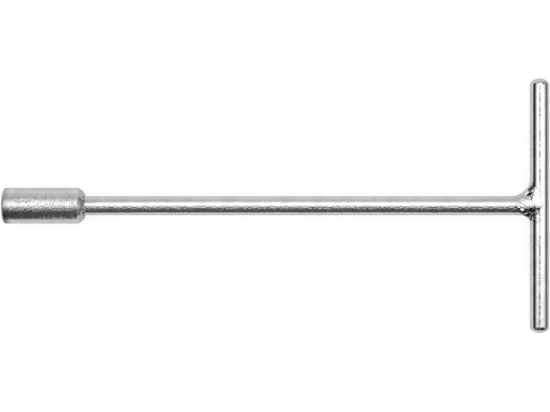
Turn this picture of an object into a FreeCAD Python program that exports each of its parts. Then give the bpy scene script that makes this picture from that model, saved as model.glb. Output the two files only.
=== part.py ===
"""T-handle socket wrench: a round socket with a hexagonal recess, a round shaft and a round cross bar,
joined by welds and plated all over. Nothing on it moves.

Frame, in millimetres: the origin is the centre of the socket's mouth. +X runs along the shaft from the
mouth to the cross bar, +Y along the cross bar, and +Z up, square to the plane of the tee.
"""

import FreeCAD
import Part

import math
import os

# Driving dimensions
ROD_DIAMETER = 10.0
SOCKET_DIAMETER = 18.8
SOCKET_LENGTH = 43.0
HEX_ACROSS_FLATS = 13.1
HEX_DEPTH = 18.0
BAR_AXIS_X = 281.0
BAR_LENGTH = 133.3

# Socket
MOUTH_ROUND_LENGTH = 2.6
MOUTH_ROUND_DROP = 1.5
LEAD_IN_RADIUS = 7.6
SHOULDER_ROUND = 3.7
STUD_BORE_RADIUS = 6.4
STUD_BORE_END = 30.0

# Shaft and cross bar
SHAFT_CHAMFER = 0.8
WELD_ROOT_GAP = 0.4
BAR_END_DOME_RADIUS = 6.0

# Weld round the shaft at the rear of the socket
SOCKET_WELD_TOE_RADIUS = 7.6
SOCKET_WELD_ROOT_DEPTH = 2.4
SOCKET_WELD_SHAFT_LEG = 0.5
SOCKET_WELD_HOLLOW = 0.1

# Weld between shaft and cross bar: the upper pass is on the +Y side of the shaft, the lower on the -Y side
UPPER_LEG_ON_SHAFT = 8.1
UPPER_LEG_ON_BAR = 7.1
UPPER_HOLLOW = 1.6
LOWER_LEG_ON_SHAFT = 5.2
LOWER_LEG_ON_BAR = 3.4
LOWER_HOLLOW = 0.5
WELD_CROWN_ON_TOP = 0.6
WELD_CROWN_BELOW = 0.08
WELD_REACH_PAST_BAR_AXIS = 3.5
WELD_EDGE_HALF_THICKNESS = 3.0

# Worked out from the above
ROD_RADIUS = ROD_DIAMETER / 2
SOCKET_RADIUS = SOCKET_DIAMETER / 2
BAR_NEAR_SIDE_X = BAR_AXIS_X - ROD_RADIUS
SHAFT_END_X = BAR_NEAR_SIDE_X - WELD_ROOT_GAP
WELD_END_X = BAR_AXIS_X + WELD_REACH_PAST_BAR_AXIS
MARGIN = 1.0

ORIGIN = FreeCAD.Vector(0, 0, 0)
ALONG_X = FreeCAD.Vector(1, 0, 0)
ALONG_Y = FreeCAD.Vector(0, 1, 0)


def point(along, across):
    return FreeCAD.Vector(along, across, 0)


def line(start, end):
    return Part.LineSegment(start, end).toShape()


def bent(start, end, rise):
    """An arc from start to end that stands rise to the left of the straight line between them."""
    chord = end - start
    left = FreeCAD.Vector(-chord.y, chord.x, 0).normalize()
    return Part.Arc(start, (start + end) / 2 + left * rise, end).toShape()


def closed(edges):
    return Part.Face(Part.Wire(edges))


def turned(edges, axis):
    """The solid that a closed outline makes when it is turned about an axis through the origin."""
    return closed(edges).revolve(ORIGIN, axis, 360)


def rod(radius, start, end):
    """A round bar along X."""
    return Part.makeCylinder(radius, end - start, FreeCAD.Vector(start, 0, 0), ALONG_X)


def hexagon_prism(across_flats, start, end):
    """A hexagonal bar along X with a flat on top."""
    corner = across_flats / math.sqrt(3)
    angles = [math.radians(60 * n) for n in range(7)]
    ring = [FreeCAD.Vector(start, corner * math.cos(a), corner * math.sin(a)) for a in angles]
    return Part.Face(Part.makePolygon(ring)).extrude(ALONG_X * (end - start))


def sagitta(chord, radius):
    """How far an arc of this radius stands off its chord."""
    return radius - math.sqrt(radius**2 - (chord / 2) ** 2)


def shoulder_x(radius):
    """Where the rounded rear shoulder of the socket has this radius."""
    drop = radius - (SOCKET_RADIUS - SHOULDER_ROUND)
    return SOCKET_LENGTH - SHOULDER_ROUND + math.sqrt(SHOULDER_ROUND**2 - drop**2)


def socket_blank():
    """The turned outside of the socket, solid, with its mouth rounded a little and its rear shoulder a lot.

    The mouth's arc runs into the side smoothly and meets the flat end at a blunt corner.
    """
    mouth_low = point(0, SOCKET_RADIUS - MOUTH_ROUND_DROP)
    mouth_high = point(MOUTH_ROUND_LENGTH, SOCKET_RADIUS)
    mouth_chord = math.hypot(MOUTH_ROUND_LENGTH, MOUTH_ROUND_DROP)
    mouth_radius = mouth_chord**2 / (2 * MOUTH_ROUND_DROP)
    rear_high = point(SOCKET_LENGTH - SHOULDER_ROUND, SOCKET_RADIUS)
    rear_low = point(SOCKET_LENGTH, SOCKET_RADIUS - SHOULDER_ROUND)
    rear_axis = point(SOCKET_LENGTH, 0)
    outline = [
        line(ORIGIN, mouth_low),
        bent(mouth_low, mouth_high, sagitta(mouth_chord, mouth_radius)),
        line(mouth_high, rear_high),
        bent(rear_high, rear_low, sagitta(SHOULDER_ROUND * math.sqrt(2), SHOULDER_ROUND)),
        line(rear_low, rear_axis),
        line(rear_axis, ORIGIN),
    ]
    return turned(outline, ALONG_X)


def lead_in():
    """The 45 degree chamfer at the mouth that guides a nut into the hexagon."""
    depth = LEAD_IN_RADIUS - HEX_ACROSS_FLATS / 2
    start = FreeCAD.Vector(-MARGIN, 0, 0)
    return Part.makeCone(LEAD_IN_RADIUS + MARGIN, HEX_ACROSS_FLATS / 2, depth + MARGIN, start, ALONG_X)


def weld_groove():
    """The cone cut into the rear of the socket round the shaft, which the weld fills."""
    root_x = SOCKET_LENGTH - SOCKET_WELD_ROOT_DEPTH
    toe_x = shoulder_x(SOCKET_WELD_TOE_RADIUS)
    slope = (SOCKET_WELD_TOE_RADIUS - ROD_RADIUS) / (toe_x - root_x)
    length = SOCKET_LENGTH + MARGIN - root_x
    start = FreeCAD.Vector(root_x, 0, 0)
    return Part.makeCone(ROD_RADIUS, ROD_RADIUS + slope * length, length, start, ALONG_X)


def socket():
    hollows = [
        hexagon_prism(HEX_ACROSS_FLATS, -MARGIN, HEX_DEPTH),
        lead_in(),
        rod(STUD_BORE_RADIUS, HEX_DEPTH - MARGIN, STUD_BORE_END),
        rod(ROD_RADIUS, STUD_BORE_END - MARGIN, SOCKET_LENGTH + MARGIN),
        weld_groove(),
    ]
    return socket_blank().cut(hollows)


def shaft():
    """The round bar, chamfered at both ends, from the floor of the stud bore to just short of the handle."""
    corners = [
        point(STUD_BORE_END, 0),
        point(STUD_BORE_END, ROD_RADIUS - SHAFT_CHAMFER),
        point(STUD_BORE_END + SHAFT_CHAMFER, ROD_RADIUS),
        point(SHAFT_END_X - SHAFT_CHAMFER, ROD_RADIUS),
        point(SHAFT_END_X, ROD_RADIUS - SHAFT_CHAMFER),
        point(SHAFT_END_X, 0),
    ]
    outline = [line(a, b) for a, b in zip(corners, corners[1:] + corners[:1])]
    return turned(outline, ALONG_X)


def cross_bar():
    """The handle: a round bar along Y with a dome at each end."""
    dome_height = sagitta(ROD_DIAMETER, BAR_END_DOME_RADIUS)
    tip = BAR_LENGTH / 2
    rim = tip - dome_height
    slant = math.hypot(ROD_RADIUS, dome_height)
    bulge = sagitta(slant, BAR_END_DOME_RADIUS)
    outline = [
        line(point(0, -tip), point(0, tip)),
        bent(point(0, tip), point(ROD_RADIUS, rim), bulge),
        line(point(ROD_RADIUS, rim), point(ROD_RADIUS, -rim)),
        bent(point(ROD_RADIUS, -rim), point(0, -tip), bulge),
    ]
    bar = turned(outline, ALONG_Y)
    bar.translate(ALONG_X * BAR_AXIS_X)
    return bar


def socket_weld():
    """The bead round the shaft at the rear of the socket, which fills the groove and ends on the shaft."""
    root = point(SOCKET_LENGTH - SOCKET_WELD_ROOT_DEPTH, ROD_RADIUS)
    toe_on_socket = point(shoulder_x(SOCKET_WELD_TOE_RADIUS), SOCKET_WELD_TOE_RADIUS)
    toe_on_shaft = point(SOCKET_LENGTH + SOCKET_WELD_SHAFT_LEG, ROD_RADIUS)
    outline = [
        line(root, toe_on_socket),
        bent(toe_on_socket, toe_on_shaft, -SOCKET_WELD_HOLLOW),
        line(toe_on_shaft, root),
    ]
    return turned(outline, ALONG_X)


def tee_weld_cap(leg_on_shaft, leg_on_bar, hollow):
    """A turned cap round the end of the shaft, whose hollow flank is the face of one pass of the weld."""
    toe_on_shaft = point(BAR_NEAR_SIDE_X - leg_on_shaft, ROD_RADIUS)
    toe_on_bar = point(BAR_NEAR_SIDE_X, ROD_RADIUS + leg_on_bar)
    corners = [toe_on_bar, point(WELD_END_X, ROD_RADIUS), point(WELD_END_X, 0), point(toe_on_shaft.x, 0)]
    outline = [bent(toe_on_shaft, toe_on_bar, -hollow)]
    outline += [line(a, b) for a, b in zip(corners, corners[1:] + [toe_on_shaft])]
    return turned(outline, ALONG_X)


def crowned(start, end, edge, top, bottom):
    """A flat outline from start to end, edge high above and below its middle line at both ends.

    Its upper side rises to top and its lower side falls to bottom half way along.
    """
    return closed([
        bent(point(end, edge), point(start, edge), -(top - edge)),
        line(point(start, edge), point(start, -edge)),
        bent(point(start, -edge), point(end, -edge), -(bottom - edge)),
        line(point(end, -edge), point(end, edge)),
    ])


def tee_weld_limits(side, leg_on_shaft):
    """What the cap keeps on one side of the shaft: a pillow, crowned along X and thinner towards its sides.

    It starts a little before the toe on the shaft. Turning (X, Y) into (Y, Z) stands an outline up across X.
    """
    top = ROD_RADIUS + WELD_CROWN_ON_TOP
    bottom = ROD_RADIUS + WELD_CROWN_BELOW
    half_width = ROD_RADIUS + UPPER_LEG_ON_BAR
    start_x = BAR_NEAR_SIDE_X - leg_on_shaft - MARGIN
    seen_from_front = crowned(start_x, WELD_END_X, ROD_RADIUS, top, bottom)
    seen_from_front.rotate(ORIGIN, ALONG_X, 90)
    seen_from_end = crowned(-half_width, half_width, WELD_EDGE_HALF_THICKNESS, top, bottom)
    seen_from_end.rotate(ORIGIN, FreeCAD.Vector(1, 1, 1), 120)
    seen_from_end.translate(ALONG_X * start_x)
    along_bar = seen_from_front.extrude(ALONG_Y * side * half_width)
    return along_bar.common(seen_from_end.extrude(ALONG_X * (WELD_END_X - start_x)))


def tee_weld(side, leg_on_shaft, leg_on_bar, hollow):
    """The pass of the weld on the +Y side (1) or the -Y side (-1) of the shaft, from top to underside."""
    cap = tee_weld_cap(leg_on_shaft, leg_on_bar, hollow)
    return cap.common(tee_weld_limits(side, leg_on_shaft)).cut([shaft(), cross_bar()])


NODES = {
    "socket": socket(),
    "shaft": shaft(),
    "cross_bar": cross_bar(),
    "socket_weld": socket_weld(),
    "tee_weld_upper": tee_weld(1, UPPER_LEG_ON_SHAFT, UPPER_LEG_ON_BAR, UPPER_HOLLOW),
    "tee_weld_lower": tee_weld(-1, LOWER_LEG_ON_SHAFT, LOWER_LEG_ON_BAR, LOWER_HOLLOW),
}

os.makedirs("parts", exist_ok=True)
for name, shape in NODES.items():
    shape.exportStep(f"parts/{name}.step")
    print(f"{name}: {len(shape.Solids)} solid, valid {shape.isValid()}, {shape.Volume:.1f} mm3")
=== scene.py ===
import math
import random

import bpy
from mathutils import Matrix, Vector


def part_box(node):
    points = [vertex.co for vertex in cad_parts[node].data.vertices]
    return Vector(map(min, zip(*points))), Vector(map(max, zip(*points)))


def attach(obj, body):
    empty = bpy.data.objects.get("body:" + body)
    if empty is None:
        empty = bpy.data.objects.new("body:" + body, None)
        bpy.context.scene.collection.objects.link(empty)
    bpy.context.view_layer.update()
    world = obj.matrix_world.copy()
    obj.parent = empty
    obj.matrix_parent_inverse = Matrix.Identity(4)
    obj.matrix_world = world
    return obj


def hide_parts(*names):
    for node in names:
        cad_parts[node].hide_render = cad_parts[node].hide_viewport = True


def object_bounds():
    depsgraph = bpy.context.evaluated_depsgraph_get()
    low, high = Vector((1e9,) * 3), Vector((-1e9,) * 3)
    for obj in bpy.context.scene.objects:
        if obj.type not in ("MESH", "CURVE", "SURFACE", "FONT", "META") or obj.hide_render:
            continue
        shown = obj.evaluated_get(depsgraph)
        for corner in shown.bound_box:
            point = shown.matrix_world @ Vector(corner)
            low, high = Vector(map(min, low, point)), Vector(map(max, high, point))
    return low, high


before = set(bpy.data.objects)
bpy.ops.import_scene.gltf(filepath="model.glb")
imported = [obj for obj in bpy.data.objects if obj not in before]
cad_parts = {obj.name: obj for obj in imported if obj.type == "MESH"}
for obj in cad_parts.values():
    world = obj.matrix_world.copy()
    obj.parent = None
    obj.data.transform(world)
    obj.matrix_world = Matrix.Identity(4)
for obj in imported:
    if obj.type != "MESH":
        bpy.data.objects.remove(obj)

cadLow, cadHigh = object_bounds()
mm = 0.001
scene = bpy.context.scene
print("frame loaded:", ", ".join(sorted(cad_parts)))


# small helpers

def clearSelection():
    if bpy.context.object and bpy.context.object.mode != "OBJECT":
        bpy.ops.object.mode_set(mode="OBJECT")
    bpy.ops.object.select_all(action="DESELECT")


def pick(*pieces):
    clearSelection()
    for piece in pieces:
        piece.select_set(True)
    bpy.context.view_layer.objects.active = pieces[0]
    return pieces[0]


def named(name):
    piece = bpy.context.object
    piece.name = name
    piece.data.name = name
    return piece


def modify(piece, kind, **values):
    # adds one modifier and applies it at once
    pick(piece)
    modifier = piece.modifiers.new(kind.lower(), kind)
    for key, value in values.items():
        setattr(modifier, key, value)
    bpy.ops.object.modifier_apply(modifier=modifier.name)
    return piece


def merged(name, pieces):
    pick(*pieces)
    bpy.ops.object.join()
    whole = named(name)
    bpy.ops.object.transform_apply(location=True, rotation=True, scale=True)
    return whole


# floor, lights and camera

studio = {
    "cameraHeight": 0.95,
    "shownWidth": 0.288,          # how much of the floor the picture takes in across
    "aimShift": (-0.0005, -0.00016),
    "floorSize": 24.0,
    "floorTone": 0.22,
    "floorGlow": 0.80,            # the floor is a light table, so shadows on it stay faint
    "roomTone": 0.92,
    "roomLamp": {"middleX": 0.14, "height": 3.0, "size": 4.0, "glow": 0.62},
}

# boards round the table that only the metal reflects. Each has its middle, its size, how it is turned
# about X, Y and Z, and the tones of its cloth from one long edge to the other
boards = {
    "overheadSoftbox": {"middle": (0.54, 0.35, 1.0), "size": (2.34, 2.3), "turn": (0, 0, 0), "tones": (
        (0.0, 0.12), (0.12, 0.14), (0.20, 0.28), (0.25, 0.70), (0.30, 1.8), (0.5, 2.0), (0.62, 1.9),
        (0.70, 1.5), (0.78, 1.15), (1.0, 0.95))},
    "leftPanel": {"middle": (-0.38, 0.95, 0.985), "size": (0.62, 1.1), "turn": (0, 0, 0), "tones": (
        (0.0, 1.5), (0.14, 1.15), (0.3, 0.98), (0.5, 0.8), (0.75, 0.63), (1.0, 0.6))},
    "frontLeftFlag": {"middle": (-1.04, -0.82, 0.48), "size": (1.92, 1.04), "turn": (90, 0, 0), "tones": (
        (0.0, 0.085), (0.5, 0.10), (1.0, 0.085))},
    "frontFlag": {"middle": (0.16, -0.82, 0.48), "size": (0.48, 1.04), "turn": (90, 0, 0), "tones": (
        (0.0, 0.09), (0.25, 0.12), (0.5, 0.19), (0.75, 0.14), (1.0, 0.12))},
    "frontRightFlag": {"middle": (0.80, -0.82, 0.48), "size": (0.8, 1.04), "turn": (90, 0, 0), "tones": (
        (0.0, 0.02), (1.0, 0.02))},
    "frontRightPanel": {"middle": (1.05, -0.61, 0.985), "size": (1.3, 0.4), "turn": (0, 0, 0), "tones": (
        (0.0, 0.02), (1.0, 0.05))},
    "frontLeftCloth": {
        "middle": (-0.3775, -0.425, -0.016), "size": (0.845, 0.75), "turn": (0, -1.04, 0),
        "tones": ((0.0, 0.25), (0.85, 0.45), (1.0, 0.8))},
    "shaftStrip": {"middle": (0.08, -0.17, 0.98), "size": (0.56, 0.34), "turn": (0, 0, 0), "tones": (
        (0.0, 0.26), (0.35, 0.48), (0.6, 0.95), (0.8, 1.45), (1.0, 1.85))},
    "backCard": {"middle": (0.14, 1.55, 0.48), "size": (4.6, 1.04), "turn": (90, 0, 180), "tones": (
        (0.0, 0.95), (0.3, 0.85), (1.0, 0.82))},
    "leftFlag": {"middle": (-1.2, 0.1, 0.7), "size": (2.4, 1.4), "turn": (90, 0, -90), "tones": (
        (0.0, 0.15), (0.08, 0.03), (0.46, 0.02), (0.60, 0.16), (0.75, 0.5), (1.0, 0.8))},
    "rightCard": {"middle": (1.75, 0.1, 0.48), "size": (2.4, 1.04), "turn": (90, 0, 90), "tones": (
        (0.0, 0.12), (0.25, 0.16), (0.6, 0.5), (1.0, 1.0))},
    "rightFloorCloth": {"middle": (1.03, 0.0, 0.0095), "size": (1.44, 2.4), "turn": (0, -1.04, 0), "tones": (
        (0.0, 0.3), (1.0, 0.3))},
    "greyPanel": {"middle": (1.25, 0.95, 0.985), "size": (0.9, 1.5), "turn": (0, 0, 0), "tones": (
        (0.0, 0.3), (1.0, 0.3))},
}


def shaderTree(name):
    material = bpy.data.materials.new(name)
    material.use_nodes = True
    return material, material.node_tree.nodes, material.node_tree.links


def clothGlow(name, height, tones):
    material, nodes, links = shaderTree(name)
    nodes.clear()
    place = nodes.new("ShaderNodeTexCoord")
    axes = nodes.new("ShaderNodeSeparateXYZ")
    rise = nodes.new("ShaderNodeMapRange")
    rise.inputs["From Min"].default_value = -height / 2
    rise.inputs["From Max"].default_value = height / 2
    ramp = nodes.new("ShaderNodeFloatCurve")
    curve = ramp.mapping.curves[0]
    top = max(tone for stop, tone in tones)
    while len(curve.points) < len(tones):
        curve.points.new(0.5, 0.5)
    for point, (stop, tone) in zip(curve.points, tones):
        point.location = (stop, tone / top)
        point.handle_type = "VECTOR"
    ramp.mapping.update()
    glow = nodes.new("ShaderNodeEmission")
    scale = nodes.new("ShaderNodeMath")
    scale.operation = "MULTIPLY"
    scale.inputs[1].default_value = top
    out = nodes.new("ShaderNodeOutputMaterial")
    links.new(place.outputs["Object"], axes.inputs[0])
    links.new(axes.outputs["Y"], rise.inputs["Value"])
    links.new(rise.outputs[0], ramp.inputs["Value"])
    links.new(ramp.outputs[0], scale.inputs[0])
    links.new(scale.outputs[0], glow.inputs["Strength"])
    links.new(glow.outputs[0], out.inputs["Surface"])
    return material


def putUpBoards():
    for name, board in boards.items():
        clearSelection()
        bpy.ops.mesh.primitive_plane_add(size=1, location=board["middle"])
        cloth = named(name)
        cloth.scale = (*board["size"], 1)
        bpy.ops.object.transform_apply(location=False, rotation=False, scale=True)
        cloth.rotation_euler = [math.radians(angle) for angle in board["turn"]]
        cloth.data.materials.append(clothGlow(name, board["size"][1], board["tones"]))
        cloth.visible_camera = False
        cloth.visible_diffuse = False
        cloth.visible_shadow = False


def lightTheRoom():
    world = bpy.data.worlds.new("paleRoom")
    scene.world = world
    world.use_nodes = True
    tone = studio["roomTone"]
    world.node_tree.nodes["Background"].inputs["Color"].default_value = (tone, tone, tone, 1)
    lamp = studio["roomLamp"]
    light = bpy.data.lights.new("roomLamp", "AREA")
    light.size = lamp["size"]
    light.energy = lamp["glow"] * math.pi * lamp["size"] ** 2
    holder = bpy.data.objects.new("roomLamp", light)
    scene.collection.objects.link(holder)
    holder.location = (lamp["middleX"], 0, lamp["height"])
    holder.visible_camera = False
    holder.visible_glossy = False


def layFloor():
    # the tool lies on the rear edge of its socket and on its bar, so the floor is a degree off level
    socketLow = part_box("socket")[0]
    barLow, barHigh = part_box("cross_bar")
    socketFoot = Vector((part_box("socket_weld")[0].x, 0, socketLow.z))
    barFoot = Vector(((barLow.x + barHigh.x) / 2, 0, barLow.z))
    slope = math.atan2(barFoot.z - socketFoot.z, barFoot.x - socketFoot.x)
    clearSelection()
    bpy.ops.mesh.primitive_plane_add(size=studio["floorSize"], location=barFoot)
    floor = named("studioFloor")
    floor.rotation_euler = (0, -slope, 0)
    material, nodes, links = shaderTree("paleBoard")
    shader = nodes["Principled BSDF"]
    tone = studio["floorTone"]
    shader.inputs["Base Color"].default_value = (tone, tone, tone, 1)
    shader.inputs["Roughness"].default_value = 0.9
    shader.inputs["Specular IOR Level"].default_value = 0.1
    shader.inputs["Emission Color"].default_value = (1, 1, 1, 1)
    shader.inputs["Emission Strength"].default_value = studio["floorGlow"]
    floor.data.materials.append(material)


def placeCamera():
    middle = (cadLow + cadHigh) / 2
    camera = bpy.data.cameras.new("overheadCamera")
    camera.lens = camera.sensor_width * studio["cameraHeight"] / studio["shownWidth"]
    holder = bpy.data.objects.new("overheadCamera", camera)
    scene.collection.objects.link(holder)
    shiftX, shiftY = studio["aimShift"]
    holder.location = (middle.x + shiftX, middle.y + shiftY, studio["cameraHeight"])
    scene.camera = holder
    scene.view_settings.view_transform = "Standard"


layFloor()
putUpBoards()
lightTheRoom()
placeCamera()
print("studio set up")


# hollows in the weld at the tee, used for its shape and for its dark oxide and painted shade: place from
# the point where the two bars' axes cross, half length, half width, turn in degrees, depth. With no depth
# there is only the dark oxide and painted shade
hollows = (
    (-5.9, 5.9, 1.6, 0.75, 25, 0.8), (-11.5, -2.0, 1.5, 0.65, -38, 0.25), (-7.2, -1.0, 1.9, 1.1, -62, 0.6),
    (-7.0, -4.0, 2.6, 1.05, -28, 0.5), (-3.9, -2.9, 1.5, 0.6, 28, 0.5), (-3.3, -5.7, 2.5, 0.9, 22, 0.6),
    (-4.9, -7.3, 0.8, 0.6, 30, 0.3), (-9.2, -3.5, 1.9, 0.6, -30, 0.3), (-5.3, -2.2, 1.5, 0.9, -40, 0.4),
    (-8.2, -4.4, 3.6, 0.75, -30, 0.0), (-3.4, -6.2, 2.3, 0.6, 8, 0.0), (-10.9, -2.6, 1.8, 0.7, -42, 0.0),
)

oxideAndShadeSpots = {
    "height": 5, "reach": 12,     # where each patch of oxide and painted shade is centred, and how far it goes up and down
    "edge": (0.75, 1.05),         # it fades out between these shares of the hollow's half size
    "breakSize": 0.9, "breaks": (0.32, 0.42),
}


def weldCrossing():
    barLow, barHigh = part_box("cross_bar")
    return Vector(((barLow.x + barHigh.x) / 2, 0, 0))


# finishes: bright plated steel, with the grain, pits and scratches of a workshop tool

finishes = {
    "platedSocket": {
        "tone": 0.56, "stretch": (0.8, 1, 1), "grainSize": 0.9, "grainDepth": 0.03,
        "streakStretch": (0.12, 1, 1), "streakSize": 1.0, "streakDepth": 0.02,
        "pitSize": 0.75, "pitDepth": 0.04, "pitShare": 0.32, "dull": 0.05, "duller": 0.11,
        # painted shade darkening the socket's rear shoulder, from its crisp edge back
        "shadedCollar": {"from": 40.1, "share": 0.35, "tone": 0.2},
        # near the mouth: rougher, and darker in colour as painted shade, more on the lower side than the upper
        "dullMouthAndShade": {"from": 2.2, "to": 4.8, "extra": 0.2, "tone": 0.1, "above": 0.3, "below": 0.8},
        "scratches": {"turn": 42, "size": 0.55, "depth": 0.08, "from": 12.0, "to": 22.0},
        # rough bands along the piece: side of the axis where each starts and ends, in millimetres
        "roughBands": (
            {"low": -3.1, "high": 0.0, "soft": 0.6, "size": 0.8, "depth": 0.30, "from": -10, "to": 39.6},
            {"low": 1.3, "high": 3.6, "soft": 0.6, "size": 1.1, "depth": 0.9, "from": 6, "to": 16},
            {"low": 2.2, "high": 3.1, "soft": 0.4, "size": 0.8, "depth": 0.22, "from": 14, "to": 39}),
    },
    "platedShaft": {
        "tone": 0.56, "stretch": (1, 1, 1), "grainSize": 0.8, "grainDepth": 0.04,
        "streakStretch": (0.08, 1, 1), "streakSize": 1.0, "streakDepth": 0.015,
        "pitSize": 0.9, "pitDepth": 0.03, "pitShare": 0.3, "dull": 0.05, "duller": 0.10,
        "roughBands": (
            {"low": -2.6, "high": 0.2, "soft": 0.6, "size": 0.8, "depth": 0.42, "from": 36, "to": 300},),
    },
    "platedBar": {
        "tone": 0.56, "stretch": (1, 1, 1), "grainSize": 0.7, "grainDepth": 0.025,
        "streakStretch": (1, 0.08, 1), "streakSize": 1.0, "streakDepth": 0.02,
        "pitSize": 0.9, "pitDepth": 0.015, "pitShare": 0.28, "dull": 0.05, "duller": 0.09,
        # painted reflection: a broken dark line down the bar's crown
        "crownReflection": {
            "offset": -0.5, "half": 0.2, "soft": 0.08, "tone": 0.02, "reach": 63.2, "crown": 1,
            "dashStretch": (1, 0.6, 1), "dashSize": 1.1, "dashes": (0.47, 0.53), "faintest": 0.2,
            "gapSize": 7, "gaps": (0.40, 0.56), "weakest": 0.45,
            "lowEnd": -52, "lowStrength": 2.2, "strength": 1.7},
    },
    "platedWeld": {
        "tone": 0.56, "stretch": (1, 1, 1), "grainSize": 0.6, "grainDepth": 0.03,
        "streakStretch": (1, 1, 1), "streakSize": 2.0, "streakDepth": 0.05,
        "pitSize": 0.9, "pitDepth": 0.04, "pitShare": 0.28, "dull": 0.05, "duller": 0.12,
        # dark specks on the weld's lower run: partly scorch, partly painted shade
        "scorchAndShade": {"size": 1.3, "below": -0.2, "clear": 0.9, "least": 0.50, "most": 0.57, "tone": 0.04,
                   "oxideAndShadeTone": 0.015},
        # dark oxide and painted shade in the weld's hollows
        "oxideAndShade": hollows,
    },
    "platedRing": {
        "tone": 0.56, "stretch": (1, 1, 1), "grainSize": 0.6, "grainDepth": 0.03,
        "streakStretch": (1, 1, 1), "streakSize": 2.0, "streakDepth": 0.05,
        "pitSize": 0.9, "pitDepth": 0.04, "pitShare": 0.28, "dull": 0.05, "duller": 0.12,
        # dark scorch specks all round the ring
        "scorchAndShade": {"size": 0.9, "below": 9.0, "clear": 0.9, "least": 0.54, "most": 0.6, "tone": 0.04},
    },
}

# what every finish shares. All sizes are in millimetres
plating = {
    "edgeTint": 0.72,             # keeps the metal's grazing edges from turning as pale as the floor
    "patchSize": 6, "patches": (0.35, 0.65),
    "toneStops": (0.3, 0.6), "toneShares": (0.88, 1),
    "pitEdge": 0.10,
    "scratchStretch": (1, 0.12, 0.12), "scratches": (0.4, 0.55),
    "collarEdge": 0.15,
    "mouthSides": (-5, 0),
    "bandEnds": 2,
}


def noiseOn(nodes, links, place, stretch, size, detail=2, turn=0):
    spread = nodes.new("ShaderNodeMapping")
    spread.inputs["Scale"].default_value = stretch
    spread.inputs["Rotation"].default_value = (0, 0, math.radians(turn))
    noise = nodes.new("ShaderNodeTexNoise")
    noise.inputs["Scale"].default_value = 1 / (size * mm)
    noise.inputs["Detail"].default_value = detail
    links.new(place.outputs["Object"], spread.inputs["Vector"])
    links.new(spread.outputs[0], noise.inputs["Vector"])
    return noise.outputs["Fac"]


def mapped(nodes, links, source, fromLow, fromHigh, toLow, toHigh):
    node = nodes.new("ShaderNodeMapRange")
    for key, value in (("From Min", fromLow), ("From Max", fromHigh), ("To Min", toLow), ("To Max", toHigh)):
        node.inputs[key].default_value = value
    links.new(source, node.inputs["Value"])
    return node.outputs[0]


def combined(nodes, links, operation, first, second):
    node = nodes.new("ShaderNodeMath")
    node.operation = operation
    for socket, value in zip(node.inputs, (first, second)):
        if isinstance(value, (int, float)):
            socket.default_value = value
        else:
            links.new(value, socket)
    return node.outputs[0]


def raised(nodes, links, height, depth, below=None):
    bump = nodes.new("ShaderNodeBump")
    bump.inputs["Strength"].default_value = 1
    bump.inputs["Distance"].default_value = depth * mm
    links.new(height, bump.inputs["Height"])
    if below:
        links.new(below, bump.inputs["Normal"])
    return bump.outputs[0]


def darkened(nodes, links, colour, share, tone):
    mix = nodes.new("ShaderNodeMix")
    mix.data_type = "RGBA"
    ends = [socket for socket in mix.inputs if socket.type == "RGBA"]
    ends[1].default_value = (tone, tone, tone, 1)
    links.new(share, mix.inputs["Factor"])
    links.new(colour, ends[0])
    return [socket for socket in mix.outputs if socket.type == "RGBA"][0]


def crownReflectionShare(nodes, links, place, axes, crownReflection):
    # a painted reflection: a broken dark line along the bar's crown, strongest towards its lower end
    barLow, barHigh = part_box("cross_bar")
    lineX = (barLow.x + barHigh.x) / 2 + crownReflection["offset"] * mm
    aside = combined(nodes, links, "ABSOLUTE", combined(nodes, links, "SUBTRACT", axes["X"], lineX), 0)
    half, soft = crownReflection["half"] * mm, crownReflection["soft"] * mm
    line = mapped(nodes, links, aside, half, half + soft, 1, 0)
    dashes = noiseOn(nodes, links, place, crownReflection["dashStretch"], crownReflection["dashSize"], 2)
    dashes = mapped(nodes, links, dashes, *crownReflection["dashes"], crownReflection["faintest"], 1)
    gaps = noiseOn(nodes, links, place, (1, 1, 1), crownReflection["gapSize"])
    gaps = mapped(nodes, links, gaps, *crownReflection["gaps"], 1, crownReflection["weakest"])
    along = mapped(nodes, links, axes["Y"], crownReflection["lowEnd"] * mm, 0, crownReflection["lowStrength"], crownReflection["strength"])
    upper = mapped(nodes, links, axes["Z"], 0, crownReflection["crown"] * mm, 0, 1)
    farOff = combined(nodes, links, "ABSOLUTE", axes["Y"], 0)
    inside = mapped(nodes, links, farOff, (crownReflection["reach"] - 1) * mm, crownReflection["reach"] * mm, 1, 0)
    share = combined(nodes, links, "MULTIPLY", line, dashes)
    for factor in (gaps, along, upper, inside):
        share = combined(nodes, links, "MULTIPLY", share, factor)
    return combined(nodes, links, "MINIMUM", share, 1)


def bandShare(nodes, links, axes, band):
    # one inside the band and nothing outside it
    soft = band["soft"] * mm
    share = mapped(nodes, links, axes["Y"], band["low"] * mm, band["low"] * mm + soft, 0, 1)
    ends = plating["bandEnds"] * mm
    for axis, edge, reach in (("Y", band["high"], soft), ("X", band["to"], ends)):
        share = combined(nodes, links, "MULTIPLY", share,
                         mapped(nodes, links, axes[axis], edge * mm - reach, edge * mm, 1, 0))
    start = mapped(nodes, links, axes["X"], band["from"] * mm, band["from"] * mm + ends, 0, 1)
    return combined(nodes, links, "MULTIPLY", share, start)


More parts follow.
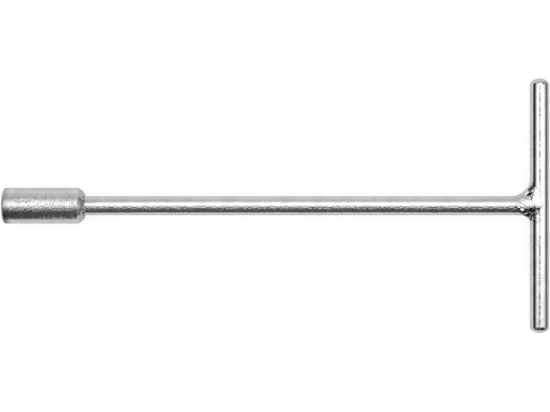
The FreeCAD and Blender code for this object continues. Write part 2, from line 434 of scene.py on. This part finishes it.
def oxideAndShadeShare(nodes, links, place, spots):
    # dark oxide and painted shade in the weld's hollows
    crossing = weldCrossing()
    whole = None
    for x, y, halfLong, halfWide, turn, depth in spots:
        spread = nodes.new("ShaderNodeMapping")
        spread.vector_type = "TEXTURE"
        spread.inputs["Location"].default_value = crossing + Vector((x, y, oxideAndShadeSpots["height"])) * mm
        spread.inputs["Rotation"].default_value = (0, 0, math.radians(turn))
        spread.inputs["Scale"].default_value = (halfLong * mm, halfWide * mm, oxideAndShadeSpots["reach"] * mm)
        reach = nodes.new("ShaderNodeVectorMath")
        reach.operation = "LENGTH"
        links.new(place.outputs["Object"], spread.inputs["Vector"])
        links.new(spread.outputs[0], reach.inputs[0])
        spot = mapped(nodes, links, reach.outputs["Value"], *oxideAndShadeSpots["edge"], 1, 0)
        whole = combined(nodes, links, "MAXIMUM", whole, spot) if whole else spot
    flecks = noiseOn(nodes, links, place, (1, 1, 1), oxideAndShadeSpots["breakSize"], 2)
    broken = mapped(nodes, links, flecks, *oxideAndShadeSpots["breaks"], 0, 1)
    return combined(nodes, links, "MULTIPLY", whole, broken)


def platedMetal(name, look):
    material, nodes, links = shaderTree(name)
    shader = nodes["Principled BSDF"]
    shader.inputs["Metallic"].default_value = 1
    edgeTint = plating["edgeTint"]
    shader.inputs["Specular Tint"].default_value = (edgeTint, edgeTint, edgeTint, 1)
    place = nodes.new("ShaderNodeTexCoord")
    split = nodes.new("ShaderNodeSeparateXYZ")
    links.new(place.outputs["Object"], split.inputs[0])
    axes = {axis: split.outputs[axis] for axis in "XYZ"}
    grain = noiseOn(nodes, links, place, look["stretch"], look["grainSize"])
    streaks = noiseOn(nodes, links, place, look["streakStretch"], look["streakSize"], 3)
    patches = noiseOn(nodes, links, place, (1, 1, 1), plating["patchSize"])
    pits = noiseOn(nodes, links, place, look["stretch"], look["pitSize"], 1)
    pitHeight = mapped(nodes, links, pits, look["pitShare"], look["pitShare"] + plating["pitEdge"], 0, 1)
    normal = raised(nodes, links, grain, look["grainDepth"])
    normal = raised(nodes, links, streaks, look["streakDepth"], normal)
    normal = raised(nodes, links, pitHeight, look["pitDepth"], normal)
    dullness = mapped(nodes, links, patches, *plating["patches"], look["dull"], look["duller"])
    tone = look["tone"]
    ramp = nodes.new("ShaderNodeValToRGB")
    for stop, position, share in zip(ramp.color_ramp.elements, plating["toneStops"], plating["toneShares"]):
        stop.position = position
        stop.color = (tone * share, tone * share, tone * share, 1)
    links.new(patches, ramp.inputs["Fac"])
    colour = ramp.outputs["Color"]
    if "scratches" in look:
        cut = look["scratches"]
        lines = noiseOn(nodes, links, place, plating["scratchStretch"], cut["size"], 2, cut["turn"])
        where = mapped(nodes, links, axes["X"], cut["from"] * mm, cut["to"] * mm, 0, 1)
        lines = mapped(nodes, links, lines, *plating["scratches"], 0, 1)
        lines = combined(nodes, links, "MULTIPLY", lines, where)
        normal = raised(nodes, links, lines, cut["depth"], normal)
    for band in look.get("roughBands", ()):
        level = combined(nodes, links, "SUBTRACT", noiseOn(nodes, links, place, (1, 1, 1), band["size"]), 0.5)
        level = combined(nodes, links, "MULTIPLY", level, bandShare(nodes, links, axes, band))
        normal = raised(nodes, links, level, band["depth"], normal)
    # painted shade on the socket's rear shoulder, behind its crisp edge
    if "shadedCollar" in look:
        shadedCollar = look["shadedCollar"]
        end = shadedCollar["from"] + plating["collarEdge"]
        behind = mapped(nodes, links, axes["X"], shadedCollar["from"] * mm, end * mm, 0, shadedCollar["share"])
        colour = darkened(nodes, links, colour, behind, shadedCollar["tone"])
    # near the mouth the socket is rougher, and its colour is darkened as painted shade, most on its lower side
    if "dullMouthAndShade" in look:
        mouth = look["dullMouthAndShade"]
        near = mapped(nodes, links, axes["X"], mouth["from"] * mm, mouth["to"] * mm, mouth["extra"], 0)
        dullness = combined(nodes, links, "ADD", dullness, near)
        lowSide, highSide = plating["mouthSides"]
        ahead = mapped(nodes, links, axes["X"], mouth["from"] * mm, mouth["to"] * mm, 1, 0)
        aside = mapped(nodes, links, axes["Y"], lowSide * mm, highSide * mm, mouth["below"], mouth["above"])
        near = combined(nodes, links, "MULTIPLY", ahead, aside)
        colour = darkened(nodes, links, colour, near, mouth["tone"])
    # painted reflection of a dark strip along the bar's crown
    if "crownReflection" in look:
        colour = darkened(nodes, links, colour, crownReflectionShare(nodes, links, place, axes, look["crownReflection"]),
                          look["crownReflection"]["tone"])
    # dark specks: on the tee weld only on its lower run, partly scorch and partly painted shade; on the ring
    # weld all round, scorch alone
    if "scorchAndShade" in look:
        mark = look["scorchAndShade"]
        spots = mapped(nodes, links, noiseOn(nodes, links, place, (1, 1, 1), mark["size"], 3),
                       mark["least"], mark["most"], 0, 1)
        start, end = (mark["below"] - mark["clear"]) * mm, mark["below"] * mm
        spots = combined(nodes, links, "MULTIPLY", spots, mapped(nodes, links, axes["Y"], start, end, 1, 0))
        colour = darkened(nodes, links, colour, spots, mark["tone"])
    # oxide and painted shade in the weld's hollows, near black
    if "oxideAndShade" in look:
        oxideAndShade = oxideAndShadeShare(nodes, links, place, look["oxideAndShade"])
        colour = darkened(nodes, links, colour, oxideAndShade, mark["oxideAndShadeTone"])
    links.new(normal, shader.inputs["Normal"])
    links.new(dullness, shader.inputs["Roughness"])
    links.new(colour, shader.inputs["Base Color"])
    return material


materials = {name: platedMetal(name, look) for name, look in finishes.items()}


def dress(piece, name):
    piece.data.materials.clear()
    piece.data.materials.append(materials[name])


dress(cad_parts["shaft"], "platedShaft")
print("finishes made")


joinWithin = 0.002 * mm      # points closer than this become one


def turnedAlong(name, outline, axis, steps):
    # one vertex is drawn out along the outline, then spun round the axis. The outline's points are
    # (place along the axis, radius) in millimetres
    def at(place, reach):
        return Vector((place, 0, reach)) * mm if axis == "X" else Vector((0, place, reach)) * mm
    clearSelection()
    bpy.ops.mesh.primitive_plane_add(size=1 * mm)
    piece = named(name)
    bpy.ops.object.mode_set(mode="EDIT")
    bpy.ops.mesh.select_all(action="SELECT")
    bpy.ops.mesh.merge(type="CENTER")
    bpy.ops.transform.translate(value=at(*outline[0]))
    for before, after in zip(outline, outline[1:]):
        bpy.ops.mesh.extrude_region_move(TRANSFORM_OT_translate={"value": at(*after) - at(*before)})
    bpy.ops.mesh.select_all(action="SELECT")
    bpy.ops.mesh.spin(steps=steps, angle=math.radians(360), center=(0, 0, 0),
                      axis=(1, 0, 0) if axis == "X" else (0, 1, 0))
    bpy.ops.mesh.select_all(action="SELECT")
    bpy.ops.mesh.remove_doubles(threshold=joinWithin)
    bpy.ops.mesh.normals_make_consistent(inside=False)
    bpy.ops.object.mode_set(mode="OBJECT")
    return piece


def waved(piece, size, height):
    # a slight unevenness, as on a bar straight from the mill
    texture = bpy.data.textures.new(piece.name + "Waves", "CLOUDS")
    texture.noise_scale = size * mm
    texture.noise_depth = 1
    modify(piece, "DISPLACE", texture=texture, texture_coords="LOCAL", strength=height * mm, mid_level=0.5)


def spaced(low, high, step):
    count = max(2, round(abs(high - low) / step))
    return [low + (high - low) * index / count for index in range(1, count)]


# socket: turned outside, hexagon inside with a round bore behind it

socketBody = {
    "leadInEnd": 1.3,
    # the mouth's rim: distance behind the front face, and radius
    "mouth": ((0, 6.9), (0.06, 7.15), (0.14, 7.4), (0.25, 7.7), (0.37, 8.0), (0.50, 8.3), (0.63, 8.6),
              (0.77, 8.87), (0.93, 9.09), (1.1, 9.24), (1.3, 9.34), (1.55, 9.39)),
    # the rear shoulder starts at a crisp edge: distance ahead of the rear face, and radius
    "shoulder": ((2.85, 9.4), (2.38, 9.09), (1.9, 8.77), (1.4, 8.42), (0.93, 8.06), (0.52, 7.67),
                 (0.22, 7.25), (0.12, 6.95), (0.3, 6.75), (0.8, 6.5), (1.5, 6.2), (2.0, 5.8), (2.3, 5.4),
                 (2.3, 5.02)),
    "seatEnd": 30.0, "boreRadius": 6.4, "hexAcrossFlats": 13.1, "hexDepth": 18.0,
    "steps": 96, "sideStep": 0.6, "waveSize": 3.0, "waveHeight": 0.025,
    "creaseAngle": 24,
}


def buildSocket():
    spec = socketBody
    low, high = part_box("socket")
    rear, outer = high.x / mm, high.z / mm
    outline = list(spec["mouth"])
    shoulder = [(rear - ahead, radius) for ahead, radius in spec["shoulder"]]
    outline += [(place, outer) for place in spaced(outline[-1][0], shoulder[0][0], spec["sideStep"])]
    outline += shoulder
    outline += [(spec["seatEnd"], shoulder[-1][1]), (spec["seatEnd"], spec["boreRadius"]),
                (spec["leadInEnd"], spec["boreRadius"]), outline[0]]
    body = turnedAlong("socketBody", outline, "X", spec["steps"])
    waved(body, spec["waveSize"], spec["waveHeight"])
    reach = spec["hexAcrossFlats"] / 2 / math.cos(math.radians(30)) * mm
    clearSelection()
    depth = spec["hexDepth"] * mm
    bpy.ops.mesh.primitive_cylinder_add(vertices=6, radius=reach, depth=depth + 2 * mm,
                                        location=(depth / 2 - 1 * mm, 0, 0), rotation=(0, math.radians(90), 0))
    cutter = named("hexagonCutter")
    cutter.rotation_euler = (math.radians(0), math.radians(90), 0)
    bpy.ops.object.transform_apply(location=True, rotation=True, scale=True)
    widest = max(corner.co.y for corner in cutter.data.vertices)
    if widest < reach * 0.99:     # the corners point sideways, with flats above and below
        cutter.rotation_euler = (math.radians(30), 0, 0)
        bpy.ops.object.transform_apply(location=False, rotation=True, scale=False)
    modify(body, "BOOLEAN", operation="DIFFERENCE", object=cutter, solver="EXACT")
    bpy.data.objects.remove(cutter)
    pick(body)
    bpy.ops.object.shade_smooth_by_angle(angle=math.radians(spec["creaseAngle"]))
    dress(body, "platedSocket")
    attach(body, "root")
    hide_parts("socket")
    print("socket:", len(body.data.polygons), "faces")


buildSocket()


# cross bar: a round bar with a half ellipse at its upper end, and a shallow dome with a chamfer round it at
# its lower end

crossBar = {
    "upperHeight": 3.5, "lowerCapRadius": 4.45, "lowerCapHeight": 1.7, "lowerEdge": 2.65,
    "upperSteps": 30, "capSteps": 20, "chamferStep": 0.12, "edgeLength": 0.1,
    "steps": 96, "sideStep": 0.8, "waveSize": 4.0, "waveHeight": 0.03,
}


def roundedEnd(radius, height, steps):
    # a half ellipse, from its top back to the straight side
    turns = [math.radians(90) * index / steps for index in range(steps + 1)]
    return [(height * (1 - math.cos(turn)), radius * math.sin(turn)) for turn in turns]


def chamferedEnd(radius, spec):
    # a shallow dome with a chamfer round it, from its top back to the straight side
    capRadius, capHeight, edge = spec["lowerCapRadius"], spec["lowerCapHeight"], spec["lowerEdge"]
    dome = (capRadius ** 2 + capHeight ** 2) / (2 * capHeight)
    reaches = [capRadius * index / spec["capSteps"] for index in range(spec["capSteps"] + 1)]
    cap = [(dome - math.sqrt(dome ** 2 - reach ** 2), reach) for reach in reaches]
    slope = (radius - capRadius) / (edge - capHeight)
    chamfer = [(back, capRadius + slope * (back - capHeight))
               for back in spaced(capHeight, edge, spec["chamferStep"])]
    return cap + chamfer + [(edge + spec["edgeLength"], radius)]


def buildCrossBar():
    spec = crossBar
    low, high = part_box("cross_bar")
    radius = high.z / mm
    upperEnd = roundedEnd(radius, spec["upperHeight"], spec["upperSteps"])
    lower = [(low.y / mm + back, reach) for back, reach in chamferedEnd(radius, spec)]
    upper = [(high.y / mm - back, reach) for back, reach in upperEnd]
    straight = [(place, radius) for place in spaced(lower[-1][0], upper[-1][0], spec["sideStep"])]
    bar = turnedAlong("crossBar", lower + straight + upper[::-1], "Y", spec["steps"])
    bar.location.x = (low.x + high.x) / 2
    pick(bar)
    bpy.ops.object.transform_apply(location=True, rotation=True, scale=True)
    waved(bar, spec["waveSize"], spec["waveHeight"])
    pick(bar)
    bpy.ops.object.shade_smooth()
    dress(bar, "platedBar")
    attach(bar, "root")
    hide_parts("cross_bar")
    print("cross bar:", len(bar.data.polygons), "faces")


buildCrossBar()


# weld at the tee: one lumpy mass of weld metal. Places are in millimetres from the point where the two
# bars' axes cross, with the first number along the shaft and the second along the cross bar

teeWeld = {
    "voxel": 0.17,
    "softening": (0.5, 12),
    # balls under the weld's edge, each with its place and radius, and the ball that each pair is joined to
    "upperEdge": ((-13.2, 0.0, 4.93), (-9.83, 2.02, 3.9), (-7.65, 4.1, 3.1), (-6.42, 5.68, 2.7),
                  (-5.15, 6.92, 2.6), (-3.49, 8.4, 3.0), (-1.7, 9.93, 3.9), (-0.05, 12.9, 4.93)),
    "upperHearts": ((-3.2, 1.3, 4.9), (-3.2, 1.3, 4.9), (-3.0, 1.9, 4.9), (-2.6, 3.2, 4.9), (-1.6, 5.6, 4.93),
                    (-0.5, 7.6, 4.93), (-0.1, 8.6, 4.93)),
    "lowerEdge": ((-11.4, 0.0, 4.93), (-8.0, -0.45, 4.6), (-6.1, -1.9, 3.8), (-4.6, -3.4, 3.3),
                  (-3.1, -4.5, 3.3), (-0.9, -6.5, 4.2), (0.0, -9.0, 4.93)),
    "lowerHearts": ((-2.0, 0.4, 4.95),) * 3 + ((-1.6, 0.2, 4.95), (-1.0, -0.6, 4.95), (-0.3, -2.4, 4.95)),
    # flat-topped runs of weld metal, left of the bar's crown and along the shaft: middle, half sizes, turn
    # in degrees, top, edge round
    "plates": ((-2.2, 4.4, 2.3, 5.0, -16, 4.98, 0.6), (-9.8, -1.1, 2.7, 1.7, -38, 5.12, 0.4)),
    # caps of weld metal over the joint: place, half length, half width, turn in degrees, height of the top
    "caps": ((-1.0, 0.6, 6.0, 3.9, 80, 5.22),),
    "plateDepth": 2.4,
    "capDepth": 2.2,
    "roughSize": 1.5,             # size and height of the lower run's own unevenness
    "roughHeight": 0.36,
    "roughFrom": (-12.6, 0.9),    # it starts this far out and on this side of the shaft's axis
    "roughSlant": (-9, 0.25),     # its upper edge falls with this slope from this place along the shaft
    "roughEnds": (0.6, -9),       # where it stops along the shaft, and down the bar
    "roughFades": (1.6, 2),
    "dropDepth": 0.6,
    "dropFrom": 20,               # drops are placed from this far above and below
    "lastSoftening": (0.5, 2),
    "sinkBeyond": 1.5,            # hollows are pressed in only this far from the middle plane
    "hollowFall": 1.5,
    "lowest": -5.06,              # the weld stays above the surface that the bar lies on
}

# drops, ripples and creases: place, half length, half width, turn in degrees, how far each stands out
ripples = (
    (-11.9, -0.2, 1.7, 1.2, 0, 0.12), (-8.6, -0.7, 0.7, 1.5, 8, 0.34), (-7.2, -2.5, 1.0, 0.6, 40, 0.34),
    (-5.2, -1.3, 1.4, 0.6, 35, 0.28), (-4.2, -2.5, 1.5, 0.55, 28, 0.30), (-6.0, -3.8, 1.2, 0.6, 15, 0.34),
    (-8.6, -3.4, 1.3, 0.5, -28, 0.26), (-10.3, -2.7, 1.7, 0.5, -20, 0.2), (-3.4, -4.4, 2.4, 0.5, 31, 0.4),
    (-6.0, -5.3, 1.2, 0.5, 15, 0.3), (-1.9, -4.1, 1.1, 0.6, 60, 0.24), (-4.9, -6.6, 1.0, 0.5, 40, 0.3),
    (-7.3, 6.5, 1.9, 0.5, 36, 0.3), (-5.9, 3.9, 1.1, 0.5, 12, 0.24), (-4.1, 7.9, 1.2, 0.5, 62, 0.26),
    (-9.4, 3.3, 2.2, 0.45, 14, 0.16), (-4.7, 5.4, 0.5, 1.5, 0, 0.36), (-6.8, 3.0, 1.6, 0.4, -8, 0.18),
)


def ballAt(place, sizes, turn=0):
    bpy.ops.mesh.primitive_ico_sphere_add(subdivisions=4, radius=1, location=place)
    ball = bpy.context.object
    ball.scale = sizes
    ball.rotation_euler = (0, 0, math.radians(turn))
    return ball


def wedgeOver(crossing, *spots):
    # one convex block of weld metal, stretched over two or three balls
    balls = [ballAt(crossing + Vector((x, y, 0)) * mm, (size * mm,) * 3) for x, y, size in spots]
    block = merged("wedge", balls)
    bpy.ops.object.mode_set(mode="EDIT")
    bpy.ops.mesh.select_all(action="SELECT")
    bpy.ops.mesh.convex_hull()
    bpy.ops.object.mode_set(mode="OBJECT")
    return block


def plateOver(crossing, plate):
    x, y, halfX, halfY, turn, top, edge = plate
    deep = teeWeld["plateDepth"]
    bpy.ops.mesh.primitive_cube_add(size=2, location=crossing + Vector((x, y, top - deep)) * mm)
    block = bpy.context.object
    block.scale = (halfX * mm, halfY * mm, deep * mm)
    block.rotation_euler = (0, 0, math.radians(turn))
    bpy.ops.object.transform_apply(location=False, rotation=False, scale=True)
    modify(block, "BEVEL", width=edge * mm, segments=3, limit_method="ANGLE")
    return block


def roughen(bead, crossing, spec):
    # only the lower run is rough: its points get the weight that the unevenness follows
    group = bead.vertex_groups.new(name="lowerRun")
    farX, side = spec["roughFrom"]
    pivot, slope = spec["roughSlant"]
    nearX, lowest = spec["roughEnds"]
    sideFade, endFade = spec["roughFades"]
    for corner in bead.data.vertices:
        place = (corner.co - crossing) / mm
        slant = side - place.y - slope * (place.x - pivot)
        if farX < place.x < nearX and place.y > lowest and slant > 0:
            share = min(1, slant / sideFade) * min(1, (nearX - place.x) / endFade)
            group.add([corner.index], share, "REPLACE")
    texture = bpy.data.textures.new("weldUnevenness", "CLOUDS")
    texture.noise_scale = spec["roughSize"] * mm
    texture.noise_depth = 3
    modify(bead, "DISPLACE", texture=texture, texture_coords="LOCAL", strength=spec["roughHeight"] * 2 * mm,
           mid_level=0.5, vertex_group="lowerRun")


def sink(bead, crossing):
    # presses the hollows in, above and below alike
    for corner in bead.data.vertices:
        place = (corner.co - crossing) / mm
        if abs(place.z) < teeWeld["sinkBeyond"]:
            continue
        for x, y, halfLong, halfWide, turn, depth in hollows:
            angle = math.radians(turn)
            aside = Vector((place.x - x, place.y - y))
            along = (aside.x * math.cos(angle) + aside.y * math.sin(angle)) / halfLong
            across = (aside.y * math.cos(angle) - aside.x * math.sin(angle)) / halfWide
            share = along ** 2 + across ** 2
            if share < 1:
                corner.co.z -= math.copysign(depth * (1 - share) ** teeWeld["hollowFall"] * mm, place.z)


def flattenBelow(piece, floorZ):
    for corner in piece.data.vertices:
        corner.co.z = max(corner.co.z, floorZ)


def buildTeeWeld():
    crossing = weldCrossing()
    spec = teeWeld
    clearSelection()
    parts = []
    for edge, hearts in (("upperEdge", "upperHearts"), ("lowerEdge", "lowerHearts")):
        for first, second, heart in zip(spec[edge], spec[edge][1:], spec[hearts]):
            parts.append(wedgeOver(crossing, first, second, heart))
    parts += [plateOver(crossing, plate) for plate in spec["plates"]]
    for x, y, halfLong, halfWide, turn, top in spec["caps"]:
        depth = spec["capDepth"]
        parts.append(ballAt(crossing + Vector((x, y, top - depth)) * mm,
                            (halfLong * mm, halfWide * mm, depth * mm), turn))
    bead = merged("teeWeldBead", parts)
    modify(bead, "REMESH", mode="VOXEL", voxel_size=spec["voxel"] * mm)
    factor, rounds = spec["softening"]
    modify(bead, "SMOOTH", factor=factor, iterations=rounds)
    roughen(bead, crossing, spec)
    drops = []
    depth = spec["dropDepth"]
    for x, y, halfLong, halfWide, turn, proud in ripples:
        for side in (1, -1):
            start = crossing + Vector((x, y, spec["dropFrom"] * side)) * mm
            hit, spot, normal, index = bead.ray_cast(start, Vector((0, 0, -side)))
            drop = ballAt(spot - normal * (depth - proud) * mm, (halfLong * mm, halfWide * mm, depth * mm))
            lean = normal.to_track_quat("Z", "Y").to_matrix()
            along = Vector((math.cos(math.radians(turn)), math.sin(math.radians(turn)), 0))
            along = (along - normal * along.dot(normal)).normalized()
            across = normal.cross(along)
            for row in range(3):
                lean[row] = (along[row], across[row], normal[row])
            drop.rotation_euler = lean.to_euler()
            drops.append(drop)
    bead = merged("teeWeldBead", [bead] + drops)
    modify(bead, "REMESH", mode="VOXEL", voxel_size=spec["voxel"] * mm)
    factor, rounds = spec["lastSoftening"]
    modify(bead, "SMOOTH", factor=factor, iterations=rounds)
    sink(bead, crossing)
    flattenBelow(bead, spec["lowest"] * mm)
    pick(bead)
    bpy.ops.object.shade_smooth()
    dress(bead, "platedWeld")
    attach(bead, "root")
    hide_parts("tee_weld_upper", "tee_weld_lower")
    print("tee weld:", len(bead.data.polygons), "faces")


buildTeeWeld()


# weld round the shaft at the socket's rear: a ring of small ripples, some bigger than others

ringWeld = {
    "ripples": 25,
    "ringRadius": 5.75,
    "coreMajor": 5.3,
    "coreRadius": 0.8,
    "coreBehindRear": 0.5,        # how far the ring's core lies inside the socket's rear face
    "rippleBehindRear": 0.38,
    "crownLead": 0.6,             # the weld runs further along the shaft on top
    "rippleHalf": (0.9, 0.56, 1.0),   # along the shaft, round it, and outwards
    "turnSpread": 0.22, "reachSpread": (-0.25, 0.2), "placeSpread": 0.2, "sizeSpread": (0.85, 1.12),
    "voxel": 0.08, "softening": (0.5, 1),
    "seed": 11,
}


def buildRingWeld():
    spec = ringWeld
    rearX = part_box("socket")[1].x
    dice = random.Random(spec["seed"])
    clearSelection()
    bpy.ops.mesh.primitive_torus_add(major_segments=96, minor_segments=24,
                                     major_radius=spec["coreMajor"] * mm,
                                     minor_radius=spec["coreRadius"] * mm,
                                     location=(rearX - spec["coreBehindRear"] * mm, 0, 0),
                                     rotation=(0, math.radians(90), 0))
    parts = [bpy.context.object]
    count = spec["ripples"]
    along, across, outwards = spec["rippleHalf"]
    turnSpread, placeSpread = spec["turnSpread"], spec["placeSpread"]
    for index in range(count):
        angle = 2 * math.pi * (index + dice.uniform(-turnSpread, turnSpread)) / count
        reach = (spec["ringRadius"] + dice.uniform(*spec["reachSpread"])) * mm
        lead = spec["crownLead"] * max(0, math.sin(angle))
        x = rearX + (lead - spec["rippleBehindRear"] + dice.uniform(-placeSpread, placeSpread)) * mm
        size = dice.uniform(*spec["sizeSpread"])
        ball = ballAt((x, reach * math.cos(angle), reach * math.sin(angle)),
                       (along * size * mm, outwards * size * mm, across * size * mm))
        ball.rotation_euler = (angle, 0, 0)
        parts.append(ball)
    ring = merged("socketWeldRing", parts)
    modify(ring, "REMESH", mode="VOXEL", voxel_size=spec["voxel"] * mm)
    factor, rounds = spec["softening"]
    modify(ring, "SMOOTH", factor=factor, iterations=rounds)
    pick(ring)
    bpy.ops.object.shade_smooth()
    dress(ring, "platedRing")
    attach(ring, "root")
    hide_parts("socket_weld")
    print("ring weld:", len(ring.data.polygons), "faces")


buildRingWeld()
